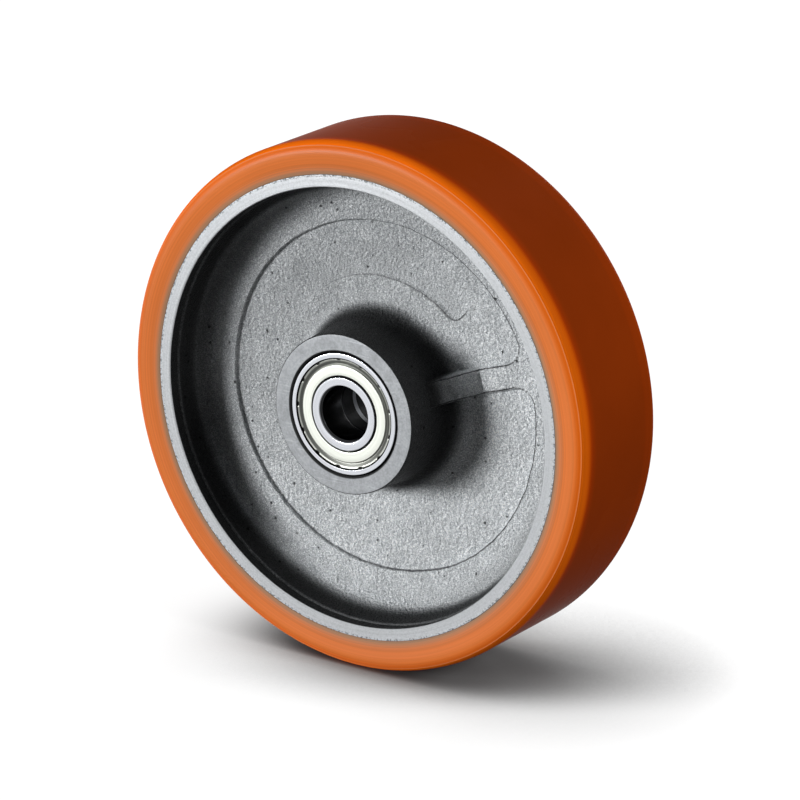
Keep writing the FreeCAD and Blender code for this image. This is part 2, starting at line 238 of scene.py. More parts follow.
def grid_mesh(name, grid, materials, finishes=None, open_sector=False):
    """A mesh over a grid that closes on itself both ways, or only by rows in an open sector."""
    rows, columns = grid.shape[:2]
    index = np.arange(rows * columns).reshape(rows, columns)
    down = np.roll(index, -1, axis=0)
    quads = np.stack([index, down, np.roll(down, -1, axis=1), np.roll(index, -1, axis=1)], axis=2)
    if open_sector:
        quads = quads[:, :-1]
    flat = grid.reshape(-1, 3)
    a, b, c, d = (flat[quads[..., corner]] for corner in range(4))
    volume = np.einsum("ijk,ijk->", a, np.cross(b, c)) + np.einsum("ijk,ijk->", a, np.cross(c, d))
    if volume < 0:
        quads = quads[..., ::-1]
    mesh = bpy.data.meshes.new(name)
    mesh.from_pydata((flat * MM).tolist(), [], quads.reshape(-1, 4).tolist())
    for material in materials:
        mesh.materials.append(material)
    if finishes is not None:
        mesh.polygons.foreach_set("material_index", np.repeat(finishes, quads.shape[1]).astype(np.int32))
    return mesh


def placed(name, data):
    """A new object in the scene."""
    made = bpy.data.objects.new(name, data)
    bpy.context.scene.collection.objects.link(made)
    return made


def finished(name, mesh, body, nodes, sharp=32.0):
    """Links the mesh as a piece that rides on its body in place of the CAD nodes."""
    mesh.shade_smooth()
    mesh.set_sharp_from_angle(angle=math.radians(sharp))
    piece = placed(name, mesh)
    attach(piece, body)
    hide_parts(*nodes)
    return piece


def millimetres(settings):
    """The group's lengths, in millimetres."""
    every = settings.bl_rna.properties
    lengths = [prop.identifier for prop in every if getattr(prop, "unit", "") == "LENGTH"]
    return SimpleNamespace(**{name: getattr(settings, name) / MM for name in lengths})


def mark_painted_shade(mesh, amounts):
    """Stores how much painted shade each place of the mesh gets, for the shaders to darken."""
    marks = mesh.attributes.new("painted_shade", "FLOAT", "POINT").data
    marks.foreach_set("value", amounts.ravel().astype(np.float32))


def even(count):
    """Angles spread evenly round the axle."""
    return np.linspace(0, 2 * math.pi, count, endpoint=False)


def ripple(grid, amount, scale):
    """A height for each place of the grid from slow noise, in the same units as amount."""
    flat = grid.reshape(-1, 3)
    heights = [noise.noise(place) + 0.5 * noise.noise(place * 2.7) for place in map(Vector, flat * scale)]
    return np.array(heights).reshape(grid.shape[:2]) * amount


# ---------------------------------------------------------------- node trees


NUMBER = "NodeSocketFloat"
VECTOR = "NodeSocketVector"
EFFECTS = {}
FINISHES = {}


def put(tree, kind, inputs=None, **settings):
    """Adds a node; an input is a constant or another node's output, by name or number."""
    node = tree.nodes.new(kind)
    for key, setting in settings.items():
        setattr(node, key, setting)
    for key, given in (inputs or {}).items():
        given = getattr(given, "socket", given)
        if isinstance(given, bpy.types.NodeSocket):
            tree.links.new(given, node.inputs[key])
        else:
            node.inputs[key].default_value = given
    return node


def maths(tree, operation, *values):
    """One step of arithmetic on constants and node outputs."""
    return Value(put(tree, "ShaderNodeMath", dict(enumerate(values)), operation=operation).outputs[0])


class Value:
    """A node's output that formulas are written with: each step adds a node."""

    def __init__(self, socket):
        self.socket, self.tree = socket, socket.id_data

    def __add__(self, other):
        return maths(self.tree, "ADD", self, other)

    def __sub__(self, other):
        return maths(self.tree, "SUBTRACT", self, other)

    def __mul__(self, other):
        return maths(self.tree, "MULTIPLY", self, other)

    def __truediv__(self, other):
        return maths(self.tree, "DIVIDE", self, other)

    def __abs__(self):
        return maths(self.tree, "ABSOLUTE", self)

    def or_more(self, other):
        """The larger of the two."""
        return maths(self.tree, "MAXIMUM", self, other)

    def ranged(self, low, high, start=0.0, end=1.0):
        """The value taken smoothly from one range to another and held at its ends."""
        inputs = {"Value": self, "From Min": low, "From Max": high, "To Min": start, "To Max": end}
        return Value(put(self.tree, "ShaderNodeMapRange", inputs, interpolation_type="SMOOTHSTEP").outputs[0])


def values(node):
    """The node's outputs by name."""
    return {socket.name: Value(socket) for socket in node.outputs if socket.name}


def clouds(tree, place, scale, detail, roughness=0.5):
    """Noise over that place."""
    inputs = {"Vector": place, "Scale": scale, "Detail": detail, "Roughness": roughness}
    return Value(put(tree, "ShaderNodeTexNoise", inputs).outputs[0])


def effect(name, inputs):
    """A new shader group and its inputs, each given as (kind, default)."""
    group = bpy.data.node_groups.new(name, "ShaderNodeTree")
    for label, (kind, default) in {"Place": (VECTOR, (0, 0, 0)), **inputs}.items():
        group.interface.new_socket(name=label, in_out="INPUT", socket_type=kind).default_value = default
    return group, values(put(group, "NodeGroupInput"))


def give(group, outputs):
    """Ends the group with its named outputs."""
    for label in outputs:
        group.interface.new_socket(name=label, in_out="OUTPUT", socket_type=NUMBER)
    put(group, "NodeGroupOutput", outputs)
    return group


def make_wheel_place():
    """Radius and depth of a place about the axle, in millimetres."""
    group, given = effect("Place on the wheel", {})
    axes = values(put(group, "ShaderNodeSeparateXYZ", {"Vector": given["Place"]}))
    squares = axes["X"] * axes["X"] + axes["Z"] * axes["Z"]
    return give(group, {"Radius": maths(group, "SQRT", squares) / MM, "Depth": axes["Y"] / MM})


def make_turning_lines():
    """Fine rings left by a cutter or grinder, broken up round the turn."""
    group, given = effect("Turning lines", {"Lines per mm": (NUMBER, 6.0), "Breaks": (NUMBER, 1.5)})
    where = values(put(group, "ShaderNodeGroup", {"Place": given["Place"]}, node_tree=EFFECTS["place"]))
    axes = values(put(group, "ShaderNodeSeparateXYZ", {"Vector": given["Place"]}))
    radius, depth = (where[measure] * given["Lines per mm"] for measure in ("Radius", "Depth"))
    way = axes["X"] * (given["Breaks"] * 12.0)
    fine = put(group, "ShaderNodeCombineXYZ", {"X": radius, "Y": depth, "Z": way}).outputs[0]
    lines = clouds(group, fine, 1.0, 3.0, 0.65)
    wide = clouds(group, fine, 0.17, 2.0)
    return give(group, {"Height": lines, "Tone": (lines + wide * 0.8).ranged(0.6, 1.2)})


def make_sand_grain():
    """The skin of a sand casting: packed grains, soft lumps and a few sharp pits."""
    group, given = effect("Sand-cast skin", {"Grain size mm": (NUMBER, 0.6), "Pit amount": (NUMBER, 0.12)})
    place = given["Place"]
    scale = maths(group, "DIVIDE", 1000.0, given["Grain size mm"])
    grain = clouds(group, place, scale, 3.0, 0.6)
    peel = clouds(group, place, scale * 0.36, 2.0)
    lumps = clouds(group, place, 130.0, 3.0)
    wobble = values(put(group, "ShaderNodeTexNoise", {"Vector": place, "Scale": 1600.0, "Detail": 2.0}))
    shift = {0: wobble["Color"], 1: (0.0012, 0.0012, 0.0012), 2: place}
    shifted = put(group, "ShaderNodeVectorMath", shift, operation="MULTIPLY_ADD").outputs[0]
    cells = values(put(group, "ShaderNodeTexVoronoi", {"Vector": shifted, "Scale": 420.0}))
    chosen = put(group, "ShaderNodeSeparateColor", {"Color": cells["Color"]}).outputs[0]
    rare = maths(group, "LESS_THAN", chosen, given["Pit amount"])
    pit = rare * cells["Distance"].ranged(0.12, 0.3, 1.0, 0.0)
    height = grain * 0.6 + peel * 1.3 + lumps * 0.8 - pit
    return give(group, {"Height": height, "Grain": grain, "Lumps": lumps, "Pits": pit})


def make_nicks():
    """Small irregular specks, such as torn spots beside a bond or dents from handling."""
    group, given = effect("Nicks", {"Size mm": (NUMBER, 0.5), "Amount": (NUMBER, 0.5)})
    specks = clouds(group, given["Place"], maths(group, "DIVIDE", 1000.0, given["Size mm"]), 4.0, 0.7)
    limit = maths(group, "SUBTRACT", 0.72, given["Amount"] * 0.3)
    return give(group, {"Mask": (specks - limit).ranged(0.0, 0.06)})


# ---------------------------------------------------------------- materials


class Surface:
    """A material whose base colour is laid on in steps, from patterns on the object's own place."""

    def __init__(self, name, paint, roughness, metallic=0.0, **constants):
        self.made = bpy.data.materials.new(name)
        self.made.use_nodes = True
        self.tree = self.made.node_tree
        self.shader = self.tree.nodes["Principled BSDF"].inputs
        self.paint = tuple(paint)
        given = {"Base_Color": (*paint, 1.0), "Roughness": roughness, "Metallic": metallic, **constants}
        for key, constant in given.items():
            self.shader[key.replace("_", " ")].default_value = constant
        self.place = put(self.tree, "ShaderNodeTexCoord").outputs["Object"]

    def effect(self, name, **inputs):
        """Places a shared effect and gives its outputs."""
        given = {"Place": self.place, **{key.replace("_", " "): each for key, each in inputs.items()}}
        return values(put(self.tree, "ShaderNodeGroup", given, node_tree=EFFECTS[name]))

    def mix(self, factor, paint, kind="MIX"):
        """Lays another colour over the paint, as thick as the factor says."""
        node = put(self.tree, "ShaderNodeMix", {"Factor": factor}, data_type="RGBA", blend_type=kind)
        colours = [socket for socket in node.inputs if socket.type == "RGBA"]
        for socket, given in zip(colours, (self.paint, paint)):
            if isinstance(given, bpy.types.NodeSocket):
                self.tree.links.new(given, socket)
            else:
                socket.default_value = (*given, 1.0)
        self.paint = next(socket for socket in node.outputs if socket.type == "RGBA")

    def shade(self, value, start, end, low=0.0, high=1.0):
        """Multiplies the paint by a grey, from start to end while the value goes from low to high."""
        grey = value.ranged(low, high, start, end)
        grey = put(self.tree, "ShaderNodeCombineColor", {0: grey, 1: grey, 2: grey}).outputs[0]
        self.mix(1.0, grey, "MULTIPLY")

    def apply_painted_shade(self):
        """Darkens the paint by the painted shade that the mesh marks."""
        self.shade(values(put(self.tree, "ShaderNodeAttribute", attribute_name="painted_shade"))["Fac"], 1.0, 0.02)

    def finish(self, roughness, height, depth_mm, strength):
        """Gives the shader its paint, roughness and relief, and returns the material."""
        relief = {"Height": height, "Distance": depth_mm * MM, "Strength": strength}
        self.tree.links.new(self.paint, self.shader["Base Color"])
        if roughness:
            self.tree.links.new(roughness.socket, self.shader["Roughness"])
        self.tree.links.new(put(self.tree, "ShaderNodeBump", relief).outputs[0], self.shader["Normal"])
        return self.made


def flank_polyurethane(tyre):
    """Cast polyurethane as trimmed: matt, tan beside the metal, deep orange at the shoulder, with a painted
    highlight on the trimming ridge.
    """
    flank = Surface("Polyurethane_flank", tyre.edge_colour, tyre.roughness, IOR=1.5, Specular_IOR_Level=0.12)
    lines = flank.effect("lines", Lines_per_mm=1.6, Breaks=0.6)
    radius, tone = flank.effect("place")["Radius"], lines["Tone"]
    rim, tread = tyre.rim_radius / MM, tyre.tread_radius / MM
    ridge = tread - tyre.shoulder / MM * (1 - math.sin(tyre.bead_angle))
    flank.mix((radius + (tone - 0.5)).ranged(rim - 0.2, rim + 4.0), tyre.flank_colour)
    flank.mix(radius.ranged(tread - 4.6, tread - 1.6), tyre.shoulder_colour)
    # Painted highlight along the trimming ridge, broken up by the lines.
    flank.mix(radius.ranged(ridge - 0.45, ridge - 0.1) * tone.ranged(0.0, 1.0, 0.45, 0.1), tyre.ridge_highlight_colour)
    flank.shade(clouds(flank.tree, flank.place, 14.0, 2.0), 0.9, 1.08)
    flank.shade(tone, 0.9, 1.07)
    return flank.finish(tone * 0.08 + tyre.roughness, lines["Height"], 0.05, 0.5)


def tread_polyurethane(tyre):
    """The ground and polished tread, deep in the middle, with a painted glow along its front edge that the
    back edge lacks.
    """
    tread = Surface("Polyurethane_tread", tyre.painted_edge_glow_colour, 0.25, IOR=1.5, Specular_IOR_Level=0.001)
    lines = tread.effect("lines", Lines_per_mm=2.2, Breaks=0.4)
    depth = tread.effect("place")["Depth"]
    edge = (tyre.half_width - tyre.shoulder) / MM
    into = abs(depth) + (lines["Tone"] - 0.5) * 0.8
    # The back half takes the deep colour right to its edge: painted shade on the side away from the lights.
    behind = depth.ranged(-1.0, 1.0, 0.0, 0.85)
    tread.mix(into.ranged(edge + 1.5, edge - 5.0).or_more(behind), tyre.tread_colour)
    # Painted glow at the front edge only.
    tread.mix(into.ranged(edge - 1.6, edge + 2.6) * depth.ranged(-1.0, 1.0, 1.0, 0.05), tyre.painted_glow_colour)
    tread.shade(abs(depth).ranged(edge - 0.6, edge + 0.2) * lines["Tone"], 1.0, 0.82)
    cloud = clouds(tread.tree, tread.place, 22.0, 3.0)
    tread.shade(cloud, 0.86, 1.12)
    return tread.finish(cloud.ranged(0.0, 1.0, 0.2, 0.34), lines["Height"], 0.012, 0.5)


def cast_skin(casting):
    """The casting's skin after blasting, with a painted sparkle on its brightest grains and painted shade
    where the mesh marks it.
    """
    skin = Surface("Cast_iron_skin", casting.shade_colour, 0.42, Specular_IOR_Level=0.05)
    sand = skin.effect("sand", Grain_size_mm=0.4, Pit_amount=0.06)
    grain = sand["Grain"]
    skin.mix(grain.ranged(0.41, 0.59), casting.skin_colour)
    # Grain tone, with the brightest grains lifted further as a painted sparkle.
    skin.shade(grain, 1.0, 1.4, 0.57, 0.67)
    skin.shade(sand["Lumps"], 0.84, 1.16)
    skin.shade(sand["Pits"], 1.0, 0.2)
    # Painted shade from the mesh's marks.
    skin.apply_painted_shade()
    return skin.finish(grain.ranged(0.3, 0.7, 0.5, 0.34), sand["Height"], 1.1, 1.0)


def rim_face(casting, tyre):
    """The rim's land, faced in a lathe, with torn specks beside the bonded tyre."""
    face = Surface("Turned_rim", casting.turned_colour, 0.36, 0.5)
    lines = face.effect("lines", Lines_per_mm=5.0, Breaks=1.5)
    sand = face.effect("sand", Grain_size_mm=0.5, Pit_amount=0.04)
    nicks = face.effect("nicks", Size_mm=0.8, Amount=0.72)
    radius, rim = face.effect("place")["Radius"], tyre.rim_radius / MM
    torn = radius.ranged(rim - 1.7, rim - 0.15) * nicks["Mask"]
    torn = torn.or_more(radius.ranged(rim - 0.25, rim - 0.05)).or_more(sand["Pits"] * 0.6)
    face.shade(lines["Tone"], 0.86, 1.06)
    face.shade(sand["Grain"], 0.84, 1.04, 0.3, 0.6)
    face.shade(torn, 1.0, 0.3)
    return face.finish(torn * 0.3 + 0.34, lines["Height"] - torn, 0.04, 0.8)


def hub_face(casting):
    """The hub's turned face, stained in soft patches, with the seat's chamfer painted black as shade."""
    face = Surface("Turned_hub", casting.hub_colour, 0.42, 0.5)
    lines = face.effect("lines", Lines_per_mm=4.0, Breaks=2.5)
    sand = face.effect("sand", Grain_size_mm=0.9, Pit_amount=0.03)
    stain = clouds(face.tree, face.place, 170.0, 4.0, 0.6)
    streaks = {"Vector": face.place, "Rotation": (0, 0.9, 0), "Scale": (90, 90, 1500)}
    scratch = clouds(face.tree, put(face.tree, "ShaderNodeMapping", streaks).outputs[0], 1.0, 2.0)
    radius = face.effect("place")["Radius"]
    face.shade(stain, 0.78, 1.1, 0.3, 0.7)
    face.shade(sand["Grain"], 0.88, 1.08, 0.35, 0.65)
    face.shade(lines["Tone"], 0.93, 1.04)
    face.shade(scratch, 1.0, 1.25, 0.62, 0.7)
    # Painted shade: the seat's chamfer is made black where the gap to the bearing lies.
    face.shade(radius, 1.0, 0.03, SEAT_MOUTH + 0.23, SEAT_MOUTH - 0.12)
    face.shade(radius, 1.0, 1.3, casting.hub_radius / MM - 0.6, casting.hub_radius / MM - 0.25)
    return face.finish(stain.ranged(0.3, 0.7, 0.5, 0.36), lines["Height"] + sand["Height"], 0.025, 0.8)


def bright_steel(name, paint, roughness, lines_per_mm, relief, metallic=1.0, dark=()):
    """Bright steel with fine rings, with painted shade where the mesh marks it and in stretches of (measure,
    from, to, tone).
    """
    steel = Surface(name, paint, roughness, metallic)
    lines = steel.effect("lines", Lines_per_mm=lines_per_mm, Breaks=2.0)
    scuffs = steel.effect("nicks", Size_mm=0.9, Amount=0.18)["Mask"]
    steel.shade(lines["Tone"], 0.93, 1.04)
    steel.shade(scuffs, 1.0, 0.8)
    steel.apply_painted_shade()
    where = steel.effect("place")
    # Each stretch is painted shade.
    for measure, start, end, tone in dark:
        at = abs(where[measure])
        steel.shade(at.ranged(start, start + 0.1) * at.ranged(end, end - 0.1), 1.0, tone)
    return steel.finish(scuffs * 0.15 + roughness, lines["Height"], relief, 0.6)


def tube_steel(bearing):
    """The spacer's dull tube, darkened inside the bore as painted shade, but for a bright strip left as a
    painted highlight.
    """
    tube = Surface("Spacer_tube_steel", bearing.tube_colour, 0.28, 0.9)
    lines = tube.effect("lines", Lines_per_mm=3.0, Breaks=2.0)
    where = tube.effect("place")
    # A strip left bright inside the bore: a painted highlight.
    painted_highlight_band = abs(where["Depth"]).ranged(7.3, 7.6) * abs(where["Depth"]).ranged(9.5, 9.3)
    # Painted shade inside the bore.
    oiled = where["Radius"].ranged(11.0, 10.5) * maths(tube.tree, "SUBTRACT", 1.0, painted_highlight_band)
    tube.shade(lines["Tone"], 0.85, 1.1)
    tube.shade(oiled, 1.0, 0.04)
    return tube.finish(None, lines["Height"], 0.02, 0.6)


def make_finishes(scene):
    """Builds the shared effects, then every finish of the wheel."""
    EFFECTS["place"] = make_wheel_place()
    EFFECTS.update(lines=make_turning_lines(), sand=make_sand_grain(), nicks=make_nicks())
    tyre, casting, bearing = scene.wheel_tyre, scene.wheel_casting, scene.wheel_bearing
    bore, outer = bearing.bore_radius / MM, bearing.outer_radius / MM
    # Painted shade for the rings: darkened at the bore's chamfer, across the gaps beside the shields and the
    # hub's seat, and deep inside the bearing.
    oiled = [
        ("Radius", bore - 1, bore + 0.15, 0.3),
        ("Radius", bore + 0.1, bore + 0.95, 0.25),
        ("Radius", INNER_CORNER, 21.24, 0.04),
        ("Radius", outer - 0.75, outer + 1, 0.03),
        ("Depth", 16.1, 29.5, 0.1),
    ]
    FINISHES.update(
        flank=flank_polyurethane(tyre),
        tread=tread_polyurethane(tyre),
        cast=cast_skin(casting),
        rim=rim_face(casting, tyre),
        hub=hub_face(casting),
        ring=bright_steel("Ring_steel", bearing.ring_colour, 0.2, 9.0, 0.008, 1.0, oiled),
        shield=bright_steel("Shield_sheet", bearing.shield_colour, 0.36, 3.0, 0.012, 0.85),
        ball=bright_steel("Ball_steel", bearing.ball_colour, 0.08, 2.0, 0.002),
        cage=bright_steel("Cage_sheet", bearing.cage_colour, 0.38, 4.0, 0.01),
        tube=tube_steel(bearing),
    )


# ---------------------------------------------------------------- repeats


def ring_of_copies():
    """Geometry nodes: copies of the incoming piece, evenly round the axle."""
    tree = bpy.data.node_groups.new("Ring of copies", "GeometryNodeTree")
    for name, kind in (("Piece", "NodeSocketGeometry"), ("Copies", "NodeSocketInt"), ("First turn", NUMBER),
                       ("Weld distance", NUMBER), ("Finish", "NodeSocketMaterial")):
        tree.interface.new_socket(name=name, in_out="INPUT", socket_type=kind)
    tree.interface.new_socket(name="Ring", in_out="OUTPUT", socket_type="NodeSocketGeometry")
    given = values(put(tree, "NodeGroupInput"))
    step = maths(tree, "DIVIDE", 2 * math.pi, given["Copies"])
    index = put(tree, "GeometryNodeInputIndex").outputs[0]
    swing = maths(tree, "MULTIPLY_ADD", index, step, given["First turn"])
    turn = put(tree, "ShaderNodeCombineXYZ", {"Y": swing * -1.0}).outputs[0]
    points = put(tree, "GeometryNodePoints", {"Count": given["Copies"]}).outputs[0]
    ring = points
    for kind, inlet, inputs in (
        ("GeometryNodeInstanceOnPoints", "Points", {"Instance": given["Piece"], "Rotation": turn}),
        ("GeometryNodeRealizeInstances", "Geometry", {}),
        ("GeometryNodeMergeByDistance", "Geometry", {"Distance": given["Weld distance"]}),
        ("GeometryNodeSetMaterial", "Geometry", {"Material": given["Finish"]}),
    ):
        ring = put(tree, kind, {inlet: ring, **inputs}).outputs[0]
    put(tree, "NodeGroupOutput", {"Ring": ring})
    return tree


def repeated(mesh, copies, first_turn, weld, finish):
    """The mesh repeated round the axle by the geometry nodes, as a plain mesh."""
    tree = bpy.data.node_groups.get("Ring of copies") or ring_of_copies()
    carrier = placed("carrier", mesh)
    modifier = carrier.modifiers.new("Ring", "NODES")
    modifier.node_group = tree
    given = {"Copies": copies, "First turn": first_turn, "Weld distance": weld, "Finish": finish}
    for item in tree.interface.items_tree:
        if item.in_out == "INPUT" and item.name in given:
            modifier[item.identifier] = given[item.name]
    view = bpy.context.evaluated_depsgraph_get()
    result = bpy.data.meshes.new_from_object(carrier.evaluated_get(view), depsgraph=view)
    carrier.modifiers.remove(modifier)
    bpy.data.objects.remove(carrier)
    return result


# ---------------------------------------------------------------- pieces


FLANK, TREAD = 0, 1


class WHEEL_OT_tyre(bpy.types.Operator):
    """Turns the tyre: flank, rounded shoulder with its trimming ridge, and tread"""

    bl_idname = "wheel.make_tyre"
    bl_label = "Make Tyre"

    def execute(self, context):
        size = millimetres(context.scene.wheel_tyre)
        ridge_angle = context.scene.wheel_tyre.bead_angle
        half, shoulder = size.half_width, size.shoulder
        centre = size.tread_radius - shoulder
        front = [
            (size.rim_radius, -size.rim_half + 0.1, 0, 1, FLANK),
            (size.rim_radius + 0.12, -size.rim_half, 0, 7, FLANK),
            (centre - 0.6, -half, 0, 1, FLANK),
        ]
        for turn in np.radians(np.arange(0, 91, 2.5)):
            reach = shoulder + size.bead * bell(turn - ridge_angle, 0.04)
            place = (centre + reach * math.sin(turn), -half + shoulder - reach * math.cos(turn))
            front.append((*place, 0, 1, TREAD if turn > ridge_angle else FLANK))
        front[-1] = (size.tread_radius, -half + shoulder, 0, 12, TREAD)
        points, finishes = section(mirrored(front), 5.0)
        coats = [FINISHES["flank"], FINISHES["tread"]]
        mesh = grid_mesh("Polyurethane_tyre", swept(points, even(480)), coats, finishes)
        finished("Polyurethane_tyre", mesh, "wheel", ["tyre"])
        return {"FINISHED"}


CAST, RIM, HUB = 0, 1, 2


def casting_section(size):
    """The section of the casting, with the web at the level of the bank round the pocket."""
    bank = size.web_half + size.pocket_depth
    land, panel, pocket = size.land_radius, size.panel_radius, size.pocket_radius
    front = [
        (HUB_BORE, -SEAT_DEPTH, 0, 1, HUB),
        (SEAT_RADIUS, -SEAT_DEPTH, 0, 1, HUB),
        (SEAT_RADIUS, -HUB_HALF + SEAT_MOUTH - SEAT_RADIUS, 0, 1, HUB),
        (SEAT_MOUTH, -HUB_HALF, 0, 5, HUB),
        (size.hub_radius, -HUB_HALF, 0.35, 14, CAST),
        (size.hub_radius + 1.5, -bank, 9.0, 5, CAST),
        (panel - 0.8, -bank, 0, 6, CAST),
        (panel + 0.8, -bank, 0, 15, CAST),
        (pocket - 1.2, -bank, 0, 9, CAST),
        (pocket + 1.2, -bank, 0, 3, CAST),
        (72.0, -bank, 0, 2, CAST),
        (land - 3.1, -bank, 11.0, 6, CAST),
        (land - 0.5, -SHELF_DEPTH, 0.25, 1, CAST),
        (land, -SHELF_DEPTH, 0.2, 4, CAST),
        (land, -RIM_HALF + 0.3, 0, 1, RIM),
        (land + 0.3, -RIM_HALF, 0, 8, RIM),
        (RIM_RADIUS - 0.12, -RIM_HALF, 0, 1, RIM),
        (RIM_RADIUS - 0.02, -RIM_HALF + 0.15, 0, 6, RIM),
    ]
    return section(mirrored(front, 3), 8.0)


def casting_turns(size, rib_angle, panel_angle, radius):
    """Angles of the grid's columns for each radius, lined up with the rib where they pass it."""
    fine = np.linspace(-math.pi, math.pi, 20001)
    across = size.rib_toe * np.sin(fine)
    front_half = np.abs(fine) < math.pi / 2
    edge = bell(np.abs(across) - size.rib_half - 0.1, 0.8) * front_half
    panel_end = bell(fine - panel_angle + rib_angle, math.radians(1.0))
    crowd = 1 + 1.0 * (np.abs(fine) < math.radians(20)) + 5 * edge + 4 * panel_end
    total = np.concatenate([[0], np.cumsum((crowd[1:] + crowd[:-1]) / 2)])
    column = np.interp(np.linspace(0, total[-1], 416, endpoint=False), total, fine)
    reach = np.maximum(radius, 31)[:, None]
    parallel = np.arcsin(np.clip(size.rib_toe * np.sin(column) / reach, -1, 1))
    free = smooth(math.radians(14), math.radians(42), np.abs(column))
    return rib_angle + np.where(free < 1, (1 - free) * parallel, 0) + free * column


def lowest(first, second, blend):
    """The smaller of two heights with a fillet of that size where they cross."""
    share_of_first = np.clip(0.5 + 0.5 * (second - first) / blend, 0, 1)
    return second + (first - second) * share_of_first - blend * share_of_first * (1 - share_of_first)


def within(first, second, corner):
    """Distance inside both of two edges, whose corner is rounded."""
    rounded = corner - np.hypot(corner - first, corner - second)
    return np.where((first < corner) & (second < corner), rounded, np.minimum(first, second))


class WHEEL_OT_casting(bpy.types.Operator):
    """Shapes the cast wheel: hub, rib, recessed web, dish and machined rim"""

    bl_idname = "wheel.make_casting"
    bl_label = "Make Casting"

    def panel(self, casting, size, radius, turns):
        """Distance inside the bare panel above the hub, and how far it still shows before it runs out."""
        turn = (turns - casting.rib_angle + math.pi) % (2 * math.pi) - math.pi + casting.rib_angle
        from_arc = radius - size.panel_radius
        from_end = radius * np.sin(np.clip(turn - casting.panel_angle, -math.pi / 2, math.pi / 2))
        run_out = (1 - smooth(50, 61, radius)) * (1 - smooth(math.radians(125), math.radians(155), turn))
        return within(from_arc, from_end, 3.0), run_out * (turn > 0)

    def execute(self, context):
        casting = context.scene.wheel_casting
        size = millimetres(casting)
        points, finishes = casting_section(size)
        turns = casting_turns(size, casting.rib_angle, casting.panel_angle, points[:, 0])
        grid = swept(points, turns)
        radius = np.broadcast_to(points[:, :1], grid.shape[:2])
        front = grid[..., 1] < 0
        height = np.abs(grid[..., 1])
        along = radius * np.cos(turns - casting.rib_angle)
        across = np.abs(radius * np.sin(turns - casting.rib_angle))

        from_rim = size.pocket_radius - radius
        from_rib = np.where(front & (along > 0), across - size.rib_half, 99.0)
        inside = within(from_rim, from_rib, size.pocket_corner) + ripple(grid, 0.22, 0.45)
        web = smooth(21.0, 13.0, height) * (radius < 75)
        sunk = smooth(-0.45, 0.45, inside) * web
        height = height - size.pocket_depth * sunk
        panel_inside, fading = self.panel(casting, size, radius, turns)
        panel_inside += ripple(grid, 0.2, 0.5)
        height = height - size.panel_depth * smooth(-0.35, 0.35, panel_inside) * fading * web * front

        bank = size.web_half + size.pocket_depth
        steepness = (size.rib_height - bank) / (size.rib_toe - size.hub_radius)
        slope = bank + (size.rib_toe - along) * steepness
        past_toe = smooth(size.rib_toe - 0.2, size.rib_toe + 0.4, along)
        slope = (slope + 0.7) * (1 - past_toe) + bank * past_toe
        slope = np.where(front & (along > 0), slope, 0)
        on_rib = 1 - smooth(size.rib_half - 0.35, size.rib_half + 0.5, across)
        ridge = -lowest(-height, -slope, 0.4)
        ribbed = (radius > size.hub_radius + 0.02) & (radius < 60) & (along > 0) & front
        height = np.where(ribbed, height + (np.maximum(ridge, height) - height) * on_rib, height)
        grid[..., 1] = np.where(front, -height, height)

        skin = (finishes == CAST)[:, None] & (np.abs(grid[..., 1]) < HUB_HALF - 0.4)
        round_it, along_it = (np.roll(grid, -1, axis) - np.roll(grid, 1, axis) for axis in (1, 0))
        normal = np.cross(round_it, along_it)
        normal /= np.maximum(np.linalg.norm(normal, axis=2, keepdims=True), 1e-9)
        grid = grid + normal * (ripple(grid, size.ripple, 0.16) * skin)[..., None]

        mesh = grid_mesh("Cast_wheel", grid, [FINISHES["cast"], FINISHES["rim"], FINISHES["hub"]], finishes)
        # Painted shade, stored in the mesh: dark lines round the pocket and the panel, the rim's dark inner
        # side and dish, the hub's side and the rib's slope, their strength changing round the wheel with
        # where the light falls.
        right = np.cos(turns + 0.15)
        on_bank = 0.62 * smooth(-0.1, 0.5, np.cos(turns - 0.2))
        painted_shade = bell(inside + on_bank - 0.1, 0.3) * web * (0.74 + 0.24 * right)
        edge = bell(panel_inside + on_bank, 0.34) * fading * web * front * (0.72 + 0.2 * right)
        # A lighter line on the ledge below the rim face is a painted highlight.
        painted_shelf_highlight = (radius > size.land_radius - 0.55) & (np.abs(grid[..., 1]) < SHELF_DEPTH + 0.15)
        painted_wall_shade = smooth(77.0, 82.0, radius) * (0.95 - 0.03 * right) - 0.17 * painted_shelf_highlight
        dish = smooth(66, 80, radius) * (0.05 + 0.8 * np.maximum(-right, 0) + 0.5 * np.maximum(right, 0))
        painted_hub_shade = 0.93 * smooth(40, 32, radius)
        # Painted shade that darkens the web towards the upper left.
        painted_upper_left_shade = 0.4 * smooth(-60, 60, 0.8 * grid[..., 2] - 0.6 * grid[..., 0])
        painted_rib_shade = 0.5 * on_rib * ribbed * (1 - past_toe)
        mark_painted_shade(mesh, reduce(np.maximum, [painted_shade, edge, painted_wall_shade, dish, painted_hub_shade, painted_upper_left_shade, painted_rib_shade]))
        finished("Cast_wheel", mesh, "wheel", ["wheel_core"], 40.0)
        return {"FINISHED"}


def set_in_hub(points, side, half_of_bearing="outboard"):
    """Section points of a bearing piece, drawn facing the front about its own middle, in their seat."""
    offset = bpy.context.scene.wheel_bearing.offset / MM
    flip = -1 if (side == "back") == (half_of_bearing == "outboard") else 1
    return points * (1, flip) + (0, SIDES[side] * offset)


